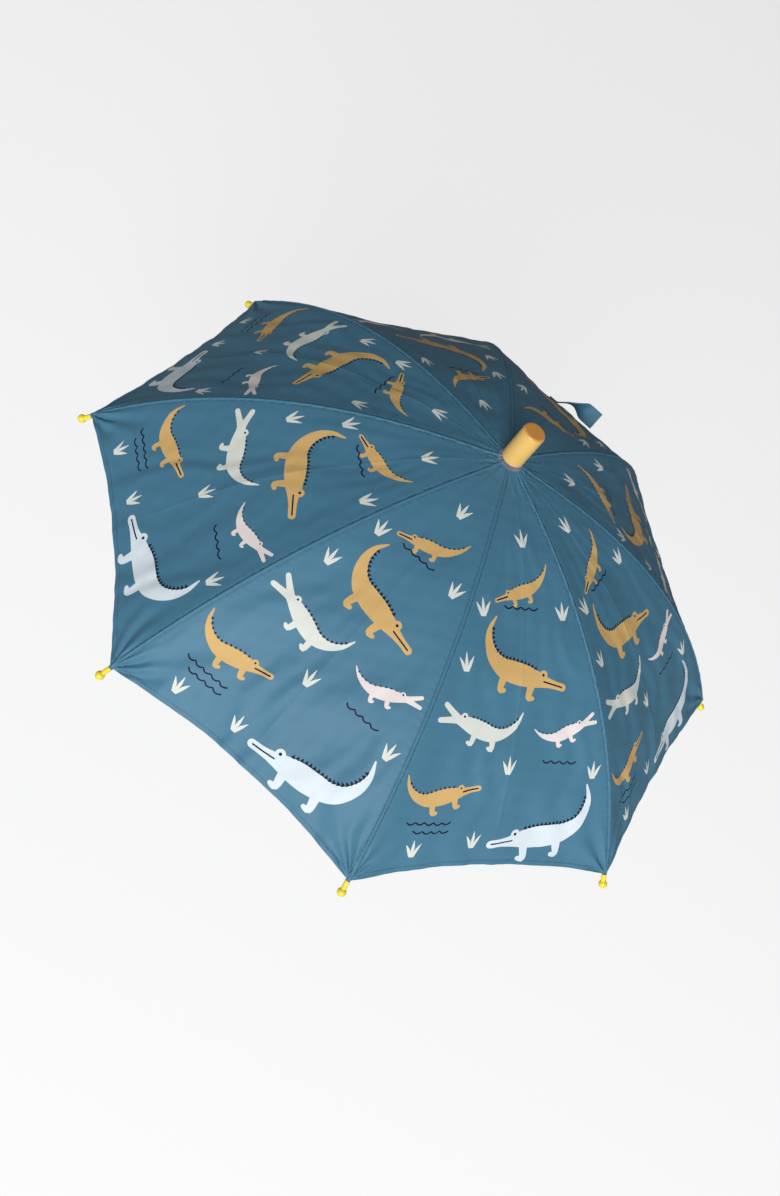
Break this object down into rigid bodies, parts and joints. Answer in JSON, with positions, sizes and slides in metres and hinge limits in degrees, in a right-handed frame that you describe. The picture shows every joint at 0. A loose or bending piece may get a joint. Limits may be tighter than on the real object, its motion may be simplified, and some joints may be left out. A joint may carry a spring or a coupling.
{
  "type": "children's umbrella",
  "caption": "Small stick umbrella for a child: printed cloth canopy on hinged ribs and stretchers, sliding runner, spring catches, ball tips, ferrule and crook handle.",
  "frame": {"origin": "on the shaft's axis, in the middle of the handle's straight grip", "axes": "+Z along the shaft to the ferrule; +X towards rib 8 and the crook's free end; ribs every 45 degrees"},
  "size_m": [0.72, 0.72, 0.5945],
  "materials": {
    "canopy_fabric": "satin",
    "rosette_cloth": "matte",
    "ferrule_plastic": "satin",
    "handle_plastic": "satin",
    "runner_plastic": "satin",
    "notch_plastic": "satin",
    "tip_plastic": "gloss",
    "shaft_steel": "polished",
    "rib_steel": "satin",
    "rivet_steel": "satin",
    "spring_steel": "satin",
    "hook_tape": "matte"
  },
  "bodies": {
    "shaft": {"shaft_tube": "shaft_steel", "top_notch": "notch_plastic", "notch_wire": "rivet_steel", "ferrule": "ferrule_plastic", "crown_rosette": "rosette_cloth", "inner_rosette": "rosette_cloth", "crook_handle": "handle_plastic", "handle_collar": "tip_plastic"},
    "runner": {"runner": "runner_plastic", "runner_wire": "rivet_steel"},
    "top_catch": {"top_spring_catch": "spring_steel"},
    "low_catch": {"low_spring_catch": "spring_steel"},
    "rib_1": {"rib_1": "rib_steel", "joint_rivet_1": "rivet_steel", "rib_tip_1": "tip_plastic", "canopy_panel_1": "canopy_fabric"},
    "stretcher_1": {"stretcher_1": "rib_steel"},
    "rib_2": {"rib_2": "rib_steel", "joint_rivet_2": "rivet_steel", "rib_tip_2": "tip_plastic", "canopy_panel_2": "canopy_fabric"},
    "stretcher_2": {"stretcher_2": "rib_steel"},
    "rib_3": {"rib_3": "rib_steel", "joint_rivet_3": "rivet_steel", "rib_tip_3": "tip_plastic", "canopy_panel_3": "canopy_fabric"},
    "stretcher_3": {"stretcher_3": "rib_steel"},
    "rib_4": {"rib_4": "rib_steel", "joint_rivet_4": "rivet_steel", "rib_tip_4": "tip_plastic", "canopy_panel_4": "canopy_fabric"},
    "stretcher_4": {"stretcher_4": "rib_steel"},
    "rib_5": {"rib_5": "rib_steel", "joint_rivet_5": "rivet_steel", "rib_tip_5": "tip_plastic", "canopy_panel_5": "canopy_fabric"},
    "stretcher_5": {"stretcher_5": "rib_steel"},
    "rib_6": {"rib_6": "rib_steel", "joint_rivet_6": "rivet_steel", "rib_tip_6": "tip_plastic", "canopy_panel_6": "canopy_fabric"},
    "stretcher_6": {"stretcher_6": "rib_steel"},
    "rib_7": {"rib_7": "rib_steel", "joint_rivet_7": "rivet_steel", "rib_tip_7": "tip_plastic", "canopy_panel_7": "canopy_fabric", "closing_strap": "canopy_fabric", "strap_hook_tape": "hook_tape"},
    "stretcher_7": {"stretcher_7": "rib_steel"},
    "rib_8": {"rib_8": "rib_steel", "joint_rivet_8": "rivet_steel", "rib_tip_8": "tip_plastic", "canopy_panel_8": "canopy_fabric"},
    "stretcher_8": {"stretcher_8": "rib_steel"}
  },
  "joints": [
    {"name": "runner_slide", "type": "slide", "parent": "shaft", "child": "runner", "axis": [0, 0, -1], "range_m": [0, 0.211], "deforming": ["canopy_panel_1", "canopy_panel_2", "canopy_panel_3", "canopy_panel_4", "canopy_panel_5", "canopy_panel_6", "canopy_panel_7", "canopy_panel_8", "closing_strap", "strap_hook_tape", "top_spring_catch", "low_spring_catch"]},
    {"name": "rib_hinge_1", "type": "hinge", "parent": "shaft", "child": "rib_1", "pos_m": [0.00636, 0.00636, 0.47148], "axis": [-0.7071, 0.7071, 0], "range_deg": [0, 59.01]},
    {"name": "stretcher_hinge_1", "type": "hinge", "parent": "rib_1", "child": "stretcher_1", "pos_m": [0.1094, 0.1094, 0.43148], "axis": [-0.7071, 0.7071, 0], "range_deg": [-118.02, 0]},
    {"name": "rib_hinge_2", "type": "hinge", "parent": "shaft", "child": "rib_2", "pos_m": [0, 0.009, 0.47148], "axis": [-1, 0, 0], "range_deg": [0, 59.01]},
    {"name": "stretcher_hinge_2", "type": "hinge", "parent": "rib_2", "child": "stretcher_2", "pos_m": [0, 0.15471, 0.43148], "axis": [-1, 0, 0], "range_deg": [-118.02, 0]},
    {"name": "rib_hinge_3", "type": "hinge", "parent": "shaft", "child": "rib_3", "pos_m": [-0.00636, 0.00636, 0.47148], "axis": [-0.7071, -0.7071, 0], "range_deg": [0, 59.01]},
    {"name": "stretcher_hinge_3", "type": "hinge", "parent": "rib_3", "child": "stretcher_3", "pos_m": [-0.1094, 0.1094, 0.43148], "axis": [-0.7071, -0.7071, 0], "range_deg": [-118.02, 0]},
    {"name": "rib_hinge_4", "type": "hinge", "parent": "shaft", "child": "rib_4", "pos_m": [-0.009, 0, 0.47148], "axis": [0, -1, 0], "range_deg": [0, 59.01]},
    {"name": "stretcher_hinge_4", "type": "hinge", "parent": "rib_4", "child": "stretcher_4", "pos_m": [-0.15471, 0, 0.43148], "axis": [0, -1, 0], "range_deg": [-118.02, 0]},
    {"name": "rib_hinge_5", "type": "hinge", "parent": "shaft", "child": "rib_5", "pos_m": [-0.00636, -0.00636, 0.47148], "axis": [0.7071, -0.7071, 0], "range_deg": [0, 59.01]},
    {"name": "stretcher_hinge_5", "type": "hinge", "parent": "rib_5", "child": "stretcher_5", "pos_m": [-0.1094, -0.1094, 0.43148], "axis": [0.7071, -0.7071, 0], "range_deg": [-118.02, 0]},
    {"name": "rib_hinge_6", "type": "hinge", "parent": "shaft", "child": "rib_6", "pos_m": [0, -0.009, 0.47148], "axis": [1, 0, 0], "range_deg": [0, 59.01]},
    {"name": "stretcher_hinge_6", "type": "hinge", "parent": "rib_6", "child": "stretcher_6", "pos_m": [0, -0.15471, 0.43148], "axis": [1, 0, 0], "range_deg": [-118.02, 0]},
    {"name": "rib_hinge_7", "type": "hinge", "parent": "shaft", "child": "rib_7", "pos_m": [0.00636, -0.00636, 0.47148], "axis": [0.7071, 0.7071, 0], "range_deg": [0, 59.01]},
    {"name": "stretcher_hinge_7", "type": "hinge", "parent": "rib_7", "child": "stretcher_7", "pos_m": [0.1094, -0.1094, 0.43148], "axis": [0.7071, 0.7071, 0], "range_deg": [-118.02, 0]},
    {"name": "rib_hinge_8", "type": "hinge", "parent": "shaft", "child": "rib_8", "pos_m": [0.009, 0, 0.47148], "axis": [0, 1, 0], "range_deg": [0, 59.01]},
    {"name": "stretcher_hinge_8", "type": "hinge", "parent": "rib_8", "child": "stretcher_8", "pos_m": [0.15471, 0, 0.43148], "axis": [0, 1, 0], "range_deg": [-118.02, 0]},
    {"name": "top_catch_press", "type": "hinge", "parent": "shaft", "child": "top_catch", "pos_m": [0.0026, 0, 0.30948], "axis": [0, 1, 0], "range_deg": [0, 6], "stiffness_Nm_per_rad": 1, "deforming": ["top_spring_catch"]},
    {"name": "low_catch_press", "type": "hinge", "parent": "shaft", "child": "low_catch", "pos_m": [0.0026, 0, 0.11788], "axis": [0, 1, 0], "range_deg": [0, 6], "stiffness_Nm_per_rad": 1, "deforming": ["low_spring_catch"]}
  ],
  "couplings": [
    {"joint": "rib_hinge_1", "follows": "runner_slide", "rad_per_m": 4.8804},
    {"joint": "stretcher_hinge_1", "follows": "runner_slide", "rad_per_m": -9.7607},
    {"joint": "rib_hinge_2", "follows": "runner_slide", "rad_per_m": 4.8804},
    {"joint": "stretcher_hinge_2", "follows": "runner_slide", "rad_per_m": -9.7607},
    {"joint": "rib_hinge_3", "follows": "runner_slide", "rad_per_m": 4.8804},
    {"joint": "stretcher_hinge_3", "follows": "runner_slide", "rad_per_m": -9.7607},
    {"joint": "rib_hinge_4", "follows": "runner_slide", "rad_per_m": 4.8804},
    {"joint": "stretcher_hinge_4", "follows": "runner_slide", "rad_per_m": -9.7607},
    {"joint": "rib_hinge_5", "follows": "runner_slide", "rad_per_m": 4.8804},
    {"joint": "stretcher_hinge_5", "follows": "runner_slide", "rad_per_m": -9.7607},
    {"joint": "rib_hinge_6", "follows": "runner_slide", "rad_per_m": 4.8804},
    {"joint": "stretcher_hinge_6", "follows": "runner_slide", "rad_per_m": -9.7607},
    {"joint": "rib_hinge_7", "follows": "runner_slide", "rad_per_m": 4.8804},
    {"joint": "stretcher_hinge_7", "follows": "runner_slide", "rad_per_m": -9.7607},
    {"joint": "rib_hinge_8", "follows": "runner_slide", "rad_per_m": 4.8804},
    {"joint": "stretcher_hinge_8", "follows": "runner_slide", "rad_per_m": -9.7607}
  ]
}
